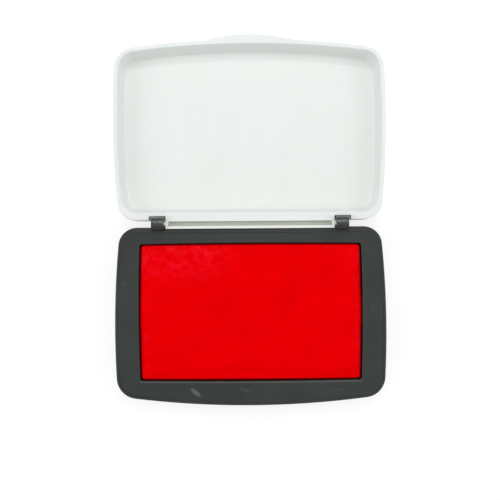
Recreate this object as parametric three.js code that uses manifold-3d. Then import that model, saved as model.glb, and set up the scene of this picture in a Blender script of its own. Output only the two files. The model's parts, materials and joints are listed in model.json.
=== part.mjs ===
// Hinged ink pad: a dark case with a framed, ink-soaked cloth pad, and a white lid opened flat.
// Millimetres, +Z up. The origin is on the underside of the base, under the middle of its footprint.
// +X is to the right, and +Y runs from the front edge to the hinge and on into the opened lid.

import * as THREE from "three";
import { mergeVertices } from "three/addons/utils/BufferGeometryUtils.js";
import Module from "manifold-3d";

const wasm = await Module();
wasm.setup();

// ---------- driving dimensions ----------

// Footprint that the base and the lid share: straight back, bowed sides, bowed front.
const HALF_WIDTH = 54.8;
const DEPTH = 72;
const WIDEST_FROM_BACK = 41;
const SIDE_RADIUS = 370;
const FRONT_RADIUS = 372;
const BACK_CORNER = 7.6;
const FRONT_CORNER = 8.5;

// Heights: the two halves meet at the hinge's height with a small gap between their rims.
const CLOSED_HEIGHT = 19;
const RIM_GAP = 0.3;
const HINGE_HEIGHT = CLOSED_HEIGHT / 2;
const RIM_HEIGHT = HINGE_HEIGHT - RIM_GAP / 2;

// Hinge: the axis lies just outside the back edges.
const HINGE_REACH = 1.4;
const EAR_INNER = 34.5;
const EAR_WIDTH = 5.2;
const EAR_OUTER = EAR_INNER + EAR_WIDTH;
const KNUCKLE_RADIUS = 2.9;
const EAR_FOOT_DROP = 6.9;
const EAR_HEEL_DROP = 2.9;
const EAR_HEEL_REACH = 0.8;
const EAR_EMBED = 3;
const SWING_CLEARANCE = 0.3;

const BAR_HALF_LENGTH = 34.1;
const BAR_RADIUS = 2;
const BAR_LIP_RISE = 0.8;
const BAR_WEB = 1;
const BAR_EMBED = 1.7;
const GROOVE_HALF_LENGTH = 32.9;
const GROOVE_FRONT = -0.92;
const GROOVE_DROP = 1.4;
const BAR_SWEEP_RADIUS = 2.35;

const PIN_ROOT_RADIUS = 0.9;
const PIN_TIP_RADIUS = 0.7;
const PIN_LENGTH = 2.8;
const PIN_EMBED = 0.5;
const PIN_HOLE_RADIUS = 1.2;
const PIN_HOLE_DEPTH = 2.9;

// Base case.
const BASE_FLOOR = 1.5;
const BASE_EDGE = 1.2;
const BASE_WALL = 1.9;
const BASE_BACK_WALL = 3.4;
const REBATE_WALL = 1.1;
const REBATE_BACK_WALL = 2.25;
const REBATE_FLOOR = 6.6;
const FIT_GAP = 0.15;

// Pad frame, which snaps into the top of the base.
const FRAME_UNDERSIDE = REBATE_FLOOR + FIT_GAP;
const FRAME_EDGE = 0.25;
const WINDOW_HALF_WIDTH = 45.25;
const WINDOW_HALF_DEPTH = 27.9;
const WINDOW_FROM_BACK = 6.4;
const WINDOW_CORNER = 1;
const WINDOW_SIDE_BOW = 0.5;
const WINDOW_END_BOW = 0.35;
const WINDOW_CHAMFER = 0.3;
const WINDOW_CENTRE = HINGE_REACH + WINDOW_FROM_BACK + WINDOW_HALF_DEPTH;
const SKIRT_WALL = 1.2;
const SKIRT_BOTTOM = 4;

// Ink tray under the pad; its wall stands outside the frame's skirt.
const TRAY_BOTTOM = BASE_FLOOR + 0.3;
const TRAY_FLOOR = 1;
const TRAY_WALL = 1;
const TRAY_TOP = 5.6;
const TRAY_GAP = 0.35;

// Pad: a felt reservoir and a foam layer under a woven cover.
const PAD_HALF_WIDTH = 45.05;
const PAD_HALF_DEPTH = 27.65;
const PAD_CORNER = 1.2;
const PAD_TOP = 8.95;
const PAD_EDGE = 0.6;
const CLOTH_BOTTOM = 3.2;
const CLOTH_TOP_THICKNESS = 0.55;
const CLOTH_SIDE_THICKNESS = 0.6;
const LAYER_GAP = 0.2;
const FELT_TOP = 6.2;

// Lid shell, modelled lying open with its hollow upwards.
const LID_OVERHANG = 0.3;
const LID_LONGER = 0.7;
const LID_PANEL = 1.5;
const LID_EDGE = 2.5;
const LID_WALL = 1.8;
const LID_BACK_WALL = 3.2;
const LID_DRAFT = 1.4;
const NOTCH_OUTER = 40.8;
const LIP_HALF_WIDTH = 18;
const LIP_RADIUS = 72;
const LIP_REACH = 1.9;
const LIP_THICKNESS = 2.1;
const LIP_EMBED = 1.2;

// Label in a shallow recess of the underside.
const LABEL_HALF_WIDTH = 28;
const LABEL_HALF_DEPTH = 11;
const LABEL_CORNER = 1.5;
const LABEL_FROM_HINGE = 20.4;
const LABEL_RECESS = 0.4;
const LABEL_MARGIN = 0.5;
const LABEL_BOTTOM = 0.1;
const LABEL_THICKNESS = 0.15;

// How finely round shapes are divided.
const ARC_STEPS = 4;
const ROUND_STEPS = 3;
const TURN_STEPS = 32;
const PIN_STEPS = 20;
const OVERCUT = 1;

// ---------- materials ----------

const darkPlastic = new THREE.MeshStandardMaterial({ color: 0x40453f, roughness: 0.5, metalness: 0 });
const whitePlastic = new THREE.MeshStandardMaterial({ color: 0xeef2ef, roughness: 0.38, metalness: 0 });
const trayPlastic = new THREE.MeshStandardMaterial({ color: 0x2f3230, roughness: 0.45, metalness: 0 });
const inkedCloth = new THREE.MeshStandardMaterial({ color: 0xe70106, roughness: 0.6, metalness: 0 });
const inkedFelt = new THREE.MeshStandardMaterial({ color: 0xb00008, roughness: 0.95, metalness: 0 });
const inkedFoam = new THREE.MeshStandardMaterial({ color: 0xc4060c, roughness: 0.9, metalness: 0 });
const paperLabel = new THREE.MeshStandardMaterial({ color: 0xe4e4df, roughness: 0.55, metalness: 0 });

// ---------- solids ----------

// A closed three.js geometry as a manifold solid.
function toSolid(geometry) {
  geometry.deleteAttribute("normal");
  geometry.deleteAttribute("uv");
  const merged = mergeVertices(geometry);
  const index = merged.index.array;
  const triangles = [];
  for (let i = 0; i < index.length; i += 3) {
    const [a, b, c] = index.slice(i, i + 3);
    if (a !== b && b !== c && c !== a) triangles.push(a, b, c);
  }
  return new wasm.Manifold(
    new wasm.Mesh({
      numProp: 3,
      vertProperties: merged.attributes.position.array,
      triVerts: new Uint32Array(triangles),
    }),
  );
}

function toMesh(name, solid, material) {
  const { vertProperties, triVerts } = solid.getMesh();
  const shared = new THREE.BufferGeometry();
  shared.setAttribute("position", new THREE.BufferAttribute(vertProperties, 3));
  shared.setIndex(new THREE.BufferAttribute(triVerts, 1));
  const geometry = shared.toNonIndexed();
  geometry.computeVertexNormals();
  const mesh = new THREE.Mesh(geometry, material);
  mesh.name = name;
  return mesh;
}

// A flat shape raised from low to high. Both ends draw in by run over the height edge: rounded, or straight
// where steps is 1.
function slab(shape, low, high, edge = 0, steps = ROUND_STEPS, run = edge) {
  const geometry = new THREE.ExtrudeGeometry(shape, {
    depth: high - low - 2 * edge,
    curveSegments: ARC_STEPS,
    bevelEnabled: edge > 0,
    bevelThickness: edge,
    bevelSize: run,
    bevelOffset: -run,
    bevelSegments: steps,
  });
  geometry.translate(0, 0, low + edge);
  return toSolid(geometry);
}

function box(x0, x1, y0, y1, z0, z1) {
  const geometry = new THREE.BoxGeometry(x1 - x0, y1 - y0, z1 - z0);
  geometry.translate((x0 + x1) / 2, (y0 + y1) / 2, (z0 + z1) / 2);
  return toSolid(geometry);
}

// A slab whose lower edge is rounded and whose upper edge is square.
function dish(shape, low, high, edge) {
  const reach = 2 * DEPTH;
  const above = box(-reach, reach, -reach, reach, high, high + reach);
  return slab(shape, low, high + edge + OVERCUT, edge).subtract(above);
}

// A shape drawn across the hinge, in (distance from the axis, height above it), swept from x0 to x1.
function alongHinge(shape, x0, x1) {
  const geometry = new THREE.ExtrudeGeometry(shape, {
    depth: x1 - x0,
    bevelEnabled: false,
    curveSegments: ARC_STEPS,
  });
  const across = new THREE.Vector3(0, 1, 0);
  const up = new THREE.Vector3(0, 0, 1);
  const along = new THREE.Vector3(1, 0, 0);
  geometry.applyMatrix4(new THREE.Matrix4().makeBasis(across, up, along));
  geometry.translate(x0, 0, HINGE_HEIGHT);
  return toSolid(geometry);
}

// A round bar on the hinge axis, from x0 to x1.
function hingeCylinder(radius, x0, x1, steps = TURN_STEPS) {
  const geometry = new THREE.CylinderGeometry(radius, radius, x1 - x0, steps);
  geometry.rotateZ(-Math.PI / 2);
  geometry.translate((x0 + x1) / 2, 0, HINGE_HEIGHT);
  return toSolid(geometry);
}

// The same feature at both ends of the hinge: make(x0, x1) is called for the right and the left.
function atBothEnds(solid, join, inner, outer, make) {
  return [
    [inner, outer],
    [-outer, -inner],
  ].reduce((result, [x0, x1]) => result[join](make(x0, x1)), solid);
}

// ---------- outlines ----------

// The footprint, drawn from the hinge outwards (+y), drawn in by inset, and by backInset at the back; its
// front reaches out further by longer.
function footprint(inset = 0, backInset = inset, longer = 0) {
  const backY = HINGE_REACH + backInset;
  const sideX = HALF_WIDTH - SIDE_RADIUS;
  const sideY = HINGE_REACH + WIDEST_FROM_BACK;
  const frontY = HINGE_REACH + DEPTH + longer - FRONT_RADIUS;

  const backRadius = BACK_CORNER - inset;
  const backCornerY = backY + backRadius;
  const backReach = SIDE_RADIUS - inset - backRadius;
  const backCornerX = sideX + Math.sqrt(backReach ** 2 - (backCornerY - sideY) ** 2);

  // The front corner's centre is where two circles about the side's and the front's centres cross.
  const toSide = SIDE_RADIUS - FRONT_CORNER;
  const toFront = FRONT_RADIUS - FRONT_CORNER;
  const span = Math.hypot(sideX, frontY - sideY);
  const along = (toSide ** 2 - toFront ** 2 + span ** 2) / (2 * span);
  const off = Math.sqrt(toSide ** 2 - along ** 2);
  const unitX = -sideX / span;
  const unitY = (frontY - sideY) / span;
  const frontCornerX = sideX + along * unitX - off * unitY;
  const frontCornerY = sideY + along * unitY + off * unitX;

  const backTurn = Math.atan2(backCornerY - sideY, backCornerX - sideX);
  const frontTurn = Math.atan2(frontCornerY - sideY, frontCornerX - sideX);
  const bowTurn = Math.atan2(frontCornerY - frontY, frontCornerX);

  const shape = new THREE.Shape();
  shape.moveTo(-backCornerX, backY);
  shape.lineTo(backCornerX, backY);
  shape.absarc(backCornerX, backCornerY, backRadius, -Math.PI / 2, backTurn);
  shape.absarc(sideX, sideY, SIDE_RADIUS - inset, backTurn, frontTurn);
  shape.absarc(frontCornerX, frontCornerY, FRONT_CORNER - inset, frontTurn, bowTurn);
  shape.absarc(0, frontY, FRONT_RADIUS - inset, bowTurn, Math.PI - bowTurn);
  shape.absarc(-frontCornerX, frontCornerY, FRONT_CORNER - inset, Math.PI - bowTurn, Math.PI - frontTurn);
  shape.absarc(-sideX, sideY, SIDE_RADIUS - inset, Math.PI - frontTurn, Math.PI - backTurn);
  shape.absarc(-backCornerX, backCornerY, backRadius, Math.PI - backTurn, 1.5 * Math.PI);
  return shape;
}

function roundedRectangle(halfWidth, halfDepth, radius, centreY) {
  const x = halfWidth - radius;
  const y = halfDepth - radius;
  const shape = new THREE.Shape();
  shape.absarc(x, centreY - y, radius, -Math.PI / 2, 0);
  shape.absarc(x, centreY + y, radius, 0, Math.PI / 2);
  shape.absarc(-x, centreY + y, radius, Math.PI / 2, Math.PI);
  shape.absarc(-x, centreY - y, radius, Math.PI, 1.5 * Math.PI);
  return shape;
}

// A rounded rectangle about the window's centre whose four sides bow out slightly.
function bowedRectangle(halfWidth, halfDepth, radius) {
  const right = halfWidth - WINDOW_SIDE_BOW;
  const top = halfDepth - WINDOW_END_BOW;
  const x = right - radius;
  const y = top - radius;
  const shape = new THREE.Shape();
  shape.absarc(x, WINDOW_CENTRE - y, radius, -Math.PI / 2, 0);
  shape.quadraticCurveTo(right + 2 * WINDOW_SIDE_BOW, WINDOW_CENTRE, right, WINDOW_CENTRE + y);
  shape.absarc(x, WINDOW_CENTRE + y, radius, 0, Math.PI / 2);
  shape.quadraticCurveTo(0, WINDOW_CENTRE + top + 2 * WINDOW_END_BOW, -x, WINDOW_CENTRE + top);
  shape.absarc(-x, WINDOW_CENTRE + y, radius, Math.PI / 2, Math.PI);
  shape.quadraticCurveTo(-right - 2 * WINDOW_SIDE_BOW, WINDOW_CENTRE, -right, WINDOW_CENTRE - y);
  shape.absarc(-x, WINDOW_CENTRE - y, radius, Math.PI, 1.5 * Math.PI);
  shape.quadraticCurveTo(0, WINDOW_CENTRE - top - 2 * WINDOW_END_BOW, x, WINDOW_CENTRE - top);
  return shape;
}

// The window's outline, grown on all sides by margin.
function windowOutline(margin) {
  return bowedRectangle(WINDOW_HALF_WIDTH + margin, WINDOW_HALF_DEPTH + margin, WINDOW_CORNER + margin);
}

// The pad's outline, drawn in by inset.
function padOutline(inset) {
  return bowedRectangle(PAD_HALF_WIDTH - inset, PAD_HALF_DEPTH - inset, PAD_CORNER - inset);
}

// ---------- base half ----------

// The web that joins an ear's knuckle to the back wall.
function earWeb(x0, x1) {
  const shape = new THREE.Shape();
  shape.moveTo(EAR_EMBED, -EAR_FOOT_DROP);
  shape.lineTo(EAR_EMBED, -RIM_GAP);
  shape.lineTo(-EAR_HEEL_REACH, 0);
  shape.lineTo(-EAR_HEEL_REACH, -EAR_HEEL_DROP);
  shape.lineTo(HINGE_REACH, -EAR_FOOT_DROP);
  shape.closePath();
  return alongHinge(shape, x0, x1);
}

function baseCase() {
  const top = RIM_HEIGHT + OVERCUT;
  const label = roundedRectangle(
    LABEL_HALF_WIDTH + LABEL_MARGIN,
    LABEL_HALF_DEPTH + LABEL_MARGIN,
    LABEL_CORNER + LABEL_MARGIN,
    LABEL_FROM_HINGE,
  );
  const shell = dish(footprint(), 0, RIM_HEIGHT, BASE_EDGE)
    .subtract(slab(footprint(BASE_WALL, BASE_BACK_WALL), BASE_FLOOR, top))
    .subtract(slab(footprint(REBATE_WALL, REBATE_BACK_WALL), REBATE_FLOOR, top))
    .subtract(slab(label, -OVERCUT, LABEL_RECESS))
    .subtract(hingeCylinder(BAR_SWEEP_RADIUS, -EAR_INNER, EAR_INNER));
  const webbed = atBothEnds(shell, "add", EAR_INNER, EAR_OUTER, earWeb);
  const eared = atBothEnds(webbed, "add", EAR_INNER, EAR_OUTER, (x0, x1) =>
    hingeCylinder(KNUCKLE_RADIUS, x0, x1),
  );
  const holeFrom = EAR_INNER - OVERCUT / 2;
  return atBothEnds(eared, "subtract", holeFrom, EAR_INNER + PIN_HOLE_DEPTH, (x0, x1) =>
    hingeCylinder(PIN_HOLE_RADIUS, x0, x1, PIN_STEPS),
  );
}

function padFrame() {
  const outline = footprint(REBATE_WALL + FIT_GAP, REBATE_BACK_WALL + FIT_GAP);
  const chamferFrom = RIM_HEIGHT - WINDOW_CHAMFER;
  const chamferTo = RIM_HEIGHT + WINDOW_CHAMFER + OVERCUT;
  return slab(outline, FRAME_UNDERSIDE, RIM_HEIGHT, FRAME_EDGE, 1)
    .add(slab(windowOutline(SKIRT_WALL), SKIRT_BOTTOM, FRAME_UNDERSIDE + FRAME_EDGE))
    .subtract(slab(windowOutline(0), SKIRT_BOTTOM - OVERCUT, RIM_HEIGHT + OVERCUT))
    .subtract(slab(windowOutline(WINDOW_CHAMFER), chamferFrom, chamferTo, WINDOW_CHAMFER, 1));
}

function inkTray() {
  const inner = SKIRT_WALL + TRAY_GAP;
  return slab(windowOutline(inner + TRAY_WALL), TRAY_BOTTOM, TRAY_TOP).subtract(
    slab(windowOutline(inner), TRAY_BOTTOM + TRAY_FLOOR, TRAY_TOP + OVERCUT),
  );
}

function padCloth() {
  const underside = PAD_TOP - CLOTH_TOP_THICKNESS;
  return slab(padOutline(0), CLOTH_BOTTOM - PAD_EDGE, PAD_TOP, PAD_EDGE)
    .subtract(slab(padOutline(-OVERCUT), CLOTH_BOTTOM - 2 * PAD_EDGE, CLOTH_BOTTOM))
    .subtract(slab(padOutline(CLOTH_SIDE_THICKNESS), CLOTH_BOTTOM - OVERCUT, underside));
}

// A plain layer inside the cover, from low to high.
function padLayer(low, high) {
  return slab(padOutline(CLOTH_SIDE_THICKNESS + LAYER_GAP), low, high);
}

function baseLabel() {
  const outline = roundedRectangle(LABEL_HALF_WIDTH, LABEL_HALF_DEPTH, LABEL_CORNER, LABEL_FROM_HINGE);
  return slab(outline, LABEL_BOTTOM, LABEL_BOTTOM + LABEL_THICKNESS);
}

// ---------- lid half ----------

// The hinge bar's section: a channel open at the top, or filled in where solid is true.
function barSection(solid) {
  const rim = -RIM_GAP / 2;
  const shape = new THREE.Shape();
  shape.moveTo(-BAR_RADIUS, BAR_LIP_RISE);
  shape.lineTo(-BAR_RADIUS, 0);
  shape.absarc(0, 0, BAR_RADIUS, Math.PI, 1.5 * Math.PI);
  shape.lineTo(BAR_EMBED, -BAR_RADIUS);
  shape.lineTo(BAR_EMBED, rim);
  shape.lineTo(BAR_WEB, rim);
  if (solid) {
    shape.lineTo(BAR_WEB, BAR_LIP_RISE);
  } else {
    shape.lineTo(BAR_WEB, -GROOVE_DROP);
    shape.lineTo(GROOVE_FRONT, -GROOVE_DROP);
    shape.lineTo(GROOVE_FRONT, BAR_LIP_RISE);
  }
  shape.closePath();
  return shape;
}

// The conical pin at one end of the bar, pointing along +x for side 1 and -x for side -1.
function hingePin(side) {
  const profile = [
    new THREE.Vector2(0, -PIN_EMBED),
    new THREE.Vector2(PIN_ROOT_RADIUS, -PIN_EMBED),
    new THREE.Vector2(PIN_ROOT_RADIUS, 0),
    new THREE.Vector2(PIN_TIP_RADIUS, PIN_LENGTH),
    new THREE.Vector2(0, PIN_LENGTH),
  ];
  const geometry = new THREE.LatheGeometry(profile, PIN_STEPS);
  geometry.rotateZ((-side * Math.PI) / 2);
  geometry.translate(side * BAR_HALF_LENGTH, 0, HINGE_HEIGHT);
  return toSolid(geometry);
}

// The thumb lip: the tip of a large flat disc that stands out past the bowed free edge.
function thumbLip() {
  const edge = HINGE_REACH + DEPTH + LID_OVERHANG + LID_LONGER;
  const tip = edge + LIP_REACH;
  const disc = new THREE.CylinderGeometry(LIP_RADIUS, LIP_RADIUS, LIP_THICKNESS, 8 * TURN_STEPS);
  disc.rotateX(Math.PI / 2);
  disc.translate(0, tip - LIP_RADIUS, RIM_HEIGHT - LIP_THICKNESS / 2);
  const kept = box(-LIP_HALF_WIDTH, LIP_HALF_WIDTH, edge - LIP_EMBED, tip + OVERCUT, 0, CLOSED_HEIGHT);
  return toSolid(disc).intersect(kept);
}

function lidShell() {
  const outline = footprint(-LID_OVERHANG, 0, LID_LONGER);
  const pocket = footprint(LID_WALL - LID_OVERHANG, LID_BACK_WALL, LID_LONGER);
  const hollow = RIM_HEIGHT - LID_PANEL;
  const shell = dish(outline, 0, RIM_HEIGHT, LID_EDGE)
    .subtract(slab(pocket, LID_PANEL, RIM_HEIGHT + hollow + OVERCUT, hollow, 1, LID_DRAFT))
    .add(thumbLip());
  const notched = atBothEnds(shell, "subtract", BAR_HALF_LENGTH, NOTCH_OUTER, (x0, x1) =>
    hingeCylinder(KNUCKLE_RADIUS + SWING_CLEARANCE, x0, x1),
  );
  const barred = atBothEnds(notched, "add", GROOVE_HALF_LENGTH, BAR_HALF_LENGTH, (x0, x1) =>
    alongHinge(barSection(true), x0, x1),
  );
  return barred
    .add(alongHinge(barSection(false), -GROOVE_HALF_LENGTH, GROOVE_HALF_LENGTH))
    .add(hingePin(1))
    .add(hingePin(-1));
}

// ---------- assembly ----------

// Each half is modelled from the hinge axis outwards, and the base is then turned to face the front.
const hingeY = HINGE_REACH + DEPTH / 2;

const base = new THREE.Group();
base.position.y = hingeY;
base.rotation.z = Math.PI;
base.add(
  toMesh("base_case", baseCase(), darkPlastic),
  toMesh("pad_frame", padFrame(), darkPlastic),
  toMesh("ink_tray", inkTray(), trayPlastic),
  toMesh("felt_core", padLayer(TRAY_BOTTOM + TRAY_FLOOR + LAYER_GAP, FELT_TOP), inkedFelt),
  toMesh("foam_layer", padLayer(FELT_TOP + LAYER_GAP, PAD_TOP - CLOTH_TOP_THICKNESS - LAYER_GAP), inkedFoam),
  toMesh("pad_cloth", padCloth(), inkedCloth),
  toMesh("base_label", baseLabel(), paperLabel),
);

const lid = new THREE.Group();
lid.position.y = hingeY;
lid.add(toMesh("lid_shell", lidShell(), whitePlastic));

const inkPad = new THREE.Group();
inkPad.add(base, lid);

export default inkPad;
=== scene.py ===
import json
import math

import bmesh
import bpy
from bpy.props import FloatProperty, FloatVectorProperty, IntProperty, PointerProperty
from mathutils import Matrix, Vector, noise


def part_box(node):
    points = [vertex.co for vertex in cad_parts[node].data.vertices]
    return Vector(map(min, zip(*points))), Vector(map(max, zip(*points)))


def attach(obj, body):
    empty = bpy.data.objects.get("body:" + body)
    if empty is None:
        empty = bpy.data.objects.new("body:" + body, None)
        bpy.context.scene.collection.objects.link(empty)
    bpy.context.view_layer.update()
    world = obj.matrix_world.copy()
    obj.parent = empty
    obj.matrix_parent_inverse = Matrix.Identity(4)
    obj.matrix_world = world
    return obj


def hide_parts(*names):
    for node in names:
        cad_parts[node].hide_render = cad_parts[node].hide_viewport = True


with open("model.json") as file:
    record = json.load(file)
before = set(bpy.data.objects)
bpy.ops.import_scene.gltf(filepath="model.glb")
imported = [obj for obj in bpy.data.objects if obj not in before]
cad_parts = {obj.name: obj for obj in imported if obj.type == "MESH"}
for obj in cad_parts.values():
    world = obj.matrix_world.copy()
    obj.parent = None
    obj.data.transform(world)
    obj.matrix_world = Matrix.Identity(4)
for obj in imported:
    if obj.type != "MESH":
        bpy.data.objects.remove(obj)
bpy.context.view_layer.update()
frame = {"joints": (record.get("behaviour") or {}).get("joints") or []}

bl_info = {
    "name": "Hinged Ink Pad",
    "version": (1, 0, 0),
    "blender": (4, 5, 0),
    "location": "3D View > Sidebar > Ink Pad",
    "description": "Models a hinged ink pad around its working frame",
    "category": "Object",
}

# Lengths are in metres. Points nearer than NEAR count as one, and a face looks straight along an axis when
# its normal reaches STRAIGHT along it.
MM = 0.001
NEAR = 0.01 * MM
STRAIGHT = 0.99
QUARTER = math.pi / 2
PREFIX = "ink_pad"

# Places that the frame gives. Each half is modelled from the hinge axis outwards, with +Y away from it.
HINGE = Vector(frame["joints"][0]["pos_m"])
BASE_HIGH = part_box("base_case")[1]
LID_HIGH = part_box("lid_shell")[1]
FRAME_LOW, FRAME_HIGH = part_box("pad_frame")
PAD_LOW, PAD_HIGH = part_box("pad_cloth")
RIM = FRAME_HIGH.z

# How far a half is turned to lie on its own side of the hinge.
TO_BASE = math.pi
TO_LID = 0.0

# Divisions of the round shapes on the hinge axis.
KNUCKLE_STEPS = 40
HOLLOW_STEPS = 96
PIN_STEPS = 40

# Rubbed marks on the case and the frame: middle, slant, half length and half width (in mm), and strength.
# They are laid out in X and Y alone, so they also show faintly on the underside.
SCUFFS = (
    ((-22.4, -30.6), -0.7, 3.0, 1.1, 0.5),
    ((-2.4, -29.8), -0.3, 3.2, 1.2, 0.12),
    ((-50.8, 13.2), -0.9, 1.6, 1.1, 0.07),
    ((49.4, 3.4), 0.5, 2.0, 1.4, 0.05),
    ((33.0, -30.2), 0.15, 6.0, 0.8, 0.06),
)

# The wettest area of the pad, where a pinkish sheen is also painted into its colour: middle, slant, half
# length and half width (in mm).
INK_SHEEN_POOL = ((-27, 22), 0.05, 24, 11)


def tint(red, green, blue):
    """A colour of 0 to 255 steps, as the linear values that shaders use, by the sRGB formula."""
    shares = (step / 255 for step in (red, green, blue))
    return tuple(share / 12.92 if share <= 0.04045 else ((share + 0.055) / 1.055) ** 2.4 for share in shares)


def shaded(tone, share):
    """The colour, darker where the share is below 1 and lighter above."""
    return tuple(value * share for value in tone)


def length(name, description, default):
    """A length that the user can change."""
    return FloatProperty(name=name, description=description, default=default, unit="LENGTH")


def colour(name, description, default):
    """A colour that the user can change."""
    return FloatVectorProperty(
        name=name, description=description, default=default, subtype="COLOR", size=3, min=0, max=1
    )


# ---------- what a user would change ----------


class InkPadFootprint(bpy.types.PropertyGroup):
    """The outline that both halves share."""

    half_width: length("Half width", "Middle to the widest point of a side", BASE_HIGH.x)
    depth: length("Depth", "Back edge to the middle of the bowed front", 72 * MM)
    widest: length("Widest at", "Back edge to the widest point", 41 * MM)
    side_radius: length("Side bow", "Radius of the bowed sides", 370 * MM)
    front_radius: length("Front bow", "Radius of the bowed front", 372 * MM)
    back_corner: length("Back corners", "Radius of the corners by the hinge", 7.6 * MM)
    front_corner: length("Front corners", "Radius of the corners away from the hinge", 8.5 * MM)
    hinge_reach: length("Hinge reach", "Back edge to the hinge axis", 1.4 * MM)
    corner_steps: IntProperty(name="Corner steps", description="Divisions of a corner", default=12)
    side_steps: IntProperty(name="Side steps", description="Divisions of a side's bow", default=20)
    front_steps: IntProperty(name="Front steps", description="Divisions of the front's bow", default=36)


class InkPadHinge(bpy.types.PropertyGroup):
    """The ears of the base and the bar of the lid."""

    ear_inner: length("Ear from middle", "Middle to an ear's inner side", 34.5 * MM)
    ear_width: length("Ear width", "Width of an ear along the hinge", 5.2 * MM)
    knuckle: length("Knuckle", "Radius of an ear's round end", 2.9 * MM)
    ear_back: length("Ear embed", "Axis to the end of the ear inside the back wall", 2.6 * MM)
    ear_foot: length("Ear foot", "Axis down to the foot of the ear", 6.9 * MM)
    ear_heel: length("Ear heel", "How far the heel stands past the axis", 0.8 * MM)
    ear_edge: length("Ear edge", "Rounding of an ear's edges", 0.4 * MM)
    flare: length("Ear flare", "How much wider the ear's foot is", 0.9 * MM)
    swing: length("Swing clearance", "Space between an ear and the lid's notch", 0.3 * MM)
    notch_outer: length("Notch end", "Middle to the outer end of a notch", 40.8 * MM)
    bar_end: length("Bar end", "Middle to the end of the bar", 34.1 * MM)
    bar_radius: length("Bar radius", "Radius of the bar's round underside", 2 * MM)
    bar_rise: length("Bar rise", "Axis up to the top of the bar's lip", 0.8 * MM)
    bar_embed: length("Bar embed", "Axis to the bar's end inside the lid", 1.9 * MM)
    bar_web: length("Bar web", "Axis to the groove's back side", 1 * MM)
    bar_edge: length("Bar edge", "Rounding of the bar's edges", 0.2 * MM)
    bar_sweep: length("Bar sweep", "Radius of the hollow that the bar turns in", 2.35 * MM)
    groove_end: length("Groove end", "Middle to the end of the groove", 32.9 * MM)
    groove_front: length("Groove front", "Axis to the groove's front side", 0.92 * MM)
    groove_drop: length("Groove depth", "Axis down to the bottom of the groove", 1.45 * MM)
    pin_root: length("Pin root", "Radius of a stub pin where it leaves the bar", 0.9 * MM)
    pin_tip: length("Pin tip", "Radius of a stub pin at its tip", 0.7 * MM)
    pin_length: length("Pin length", "Length of a stub pin outside the bar", 2.8 * MM)
    pin_hole: length("Pin hole", "Radius of an ear's hole", 1.2 * MM)
    pin_hole_depth: length("Pin hole depth", "Depth of an ear's hole", 2.9 * MM)


class InkPadCase(bpy.types.PropertyGroup):
    """Walls and edges of the base, the frame, the tray and the label."""

    base_edge: length("Base edge", "Rounding of the base's lower edge", 1.2 * MM)
    rim_edge: length("Rim edge", "Rounding of the base's outer rim", 0.45 * MM)
    seam_edge: length("Seam edge", "Rounding along the seam of base and frame", 0.07 * MM)
    rim_wall: length("Rim wall", "Base wall beside the frame", 1.15 * MM)
    back_wall: length("Back wall", "Extra wall at the hinge side", 1.1 * MM)
    rebate: length("Rebate", "Height of the ledge that the frame sits on", 6.6 * MM)
    ledge: length("Ledge", "Width of that ledge", 0.8 * MM)
    floor: length("Base floor", "Thickness of the base's floor", 1.5 * MM)
    seam: length("Seam", "Gap between the base and the frame", 0.06 * MM)
    window_half_width: length("Window half width", "Middle of the window to its side", 45.25 * MM)
    window_half_depth: length("Window half depth", "Middle of the window to its front", 27.9 * MM)
    window_from_back: length("Window from back", "Back edge to the window", 6.4 * MM)
    window_corner: length("Window corner", "Radius of the window's corners", 1 * MM)
    side_bow: length("Side bow", "How far the window's sides bow out", 0.5 * MM)
    end_bow: length("End bow", "How far the window's back and front bow out", 0.35 * MM)
    window_edge: length("Window edge", "Rounding along the window", 0.3 * MM)
    skirt: length("Skirt", "Thickness of the frame's wall round the pad", 1.2 * MM)
    tray_wall: length("Tray wall", "Thickness of the ink tray", 1 * MM)
    tray_edge: length("Tray edge", "Rounding of the ink tray's edges", 0.25 * MM)
    label_recess: length("Label recess", "Depth of the label's recess", 0.4 * MM)
    label_margin: length("Label margin", "Space round the label", 0.5 * MM)
    label_corner: length("Label corner", "Radius of the label's corners", 1.5 * MM)


class InkPadLid(bpy.types.PropertyGroup):
    """Walls and edges of the lid."""

    overhang: length("Overhang", "How far the lid stands out past the base", 0.3 * MM)
    longer: length("Longer", "How much further the lid's front reaches", 0.7 * MM)
    panel: length("Panel", "Thickness of the lid's flat panel", 1.5 * MM)
    outer_edge: length("Outer edge", "Rounding of the lid's outer edge", 2.5 * MM)
    rim_edge: length("Rim edge", "Rounding of the rim", 0.5 * MM)
    wall: length("Wall", "Thickness of the rim", 1.8 * MM)
    back_wall: length("Back wall", "Extra wall at the hinge side", 1.4 * MM)
    draft: length("Draft", "How much the inner wall leans in", 1.35 * MM)
    fillet: length("Fillet", "Rounding between the inner wall and the panel", 0.6 * MM)
    lip_half_width: length("Lip half width", "Half of the thumb lip's width", 18 * MM)
    lip_radius: length("Lip radius", "Radius of the thumb lip's edge", 72 * MM)
    lip_thickness: length("Lip thickness", "Height of the thumb lip", 2.1 * MM)
    lip_embed: length("Lip embed", "How deep the lip starts inside the wall", 1.2 * MM)
    lip_edge: length("Lip edge", "Rounding of the thumb lip", 0.4 * MM)


class InkPadCushion(bpy.types.PropertyGroup):
    """The layers of the pad."""

    corner: length("Pad corner", "Radius of the pad's corners", 0.9 * MM)
    edge: length("Pad edge", "Rounding of the pad's upper edge", 0.5 * MM)
    cover: length("Cover", "Thickness of the woven cover", 0.45 * MM)
    crown: length("Crown", "The most that the cover may bulge", 0.4 * MM)
    fullness: length("Fullness", "How much wider the cover is than its bed, to fill the window", 0.08 * MM)
    grain: length("Cloth pitch", "Distance between threads of the cover", 0.42 * MM)
    voxel: length("Voxel", "Cell size of the cover's mesh", 1.1 * MM)


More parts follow.
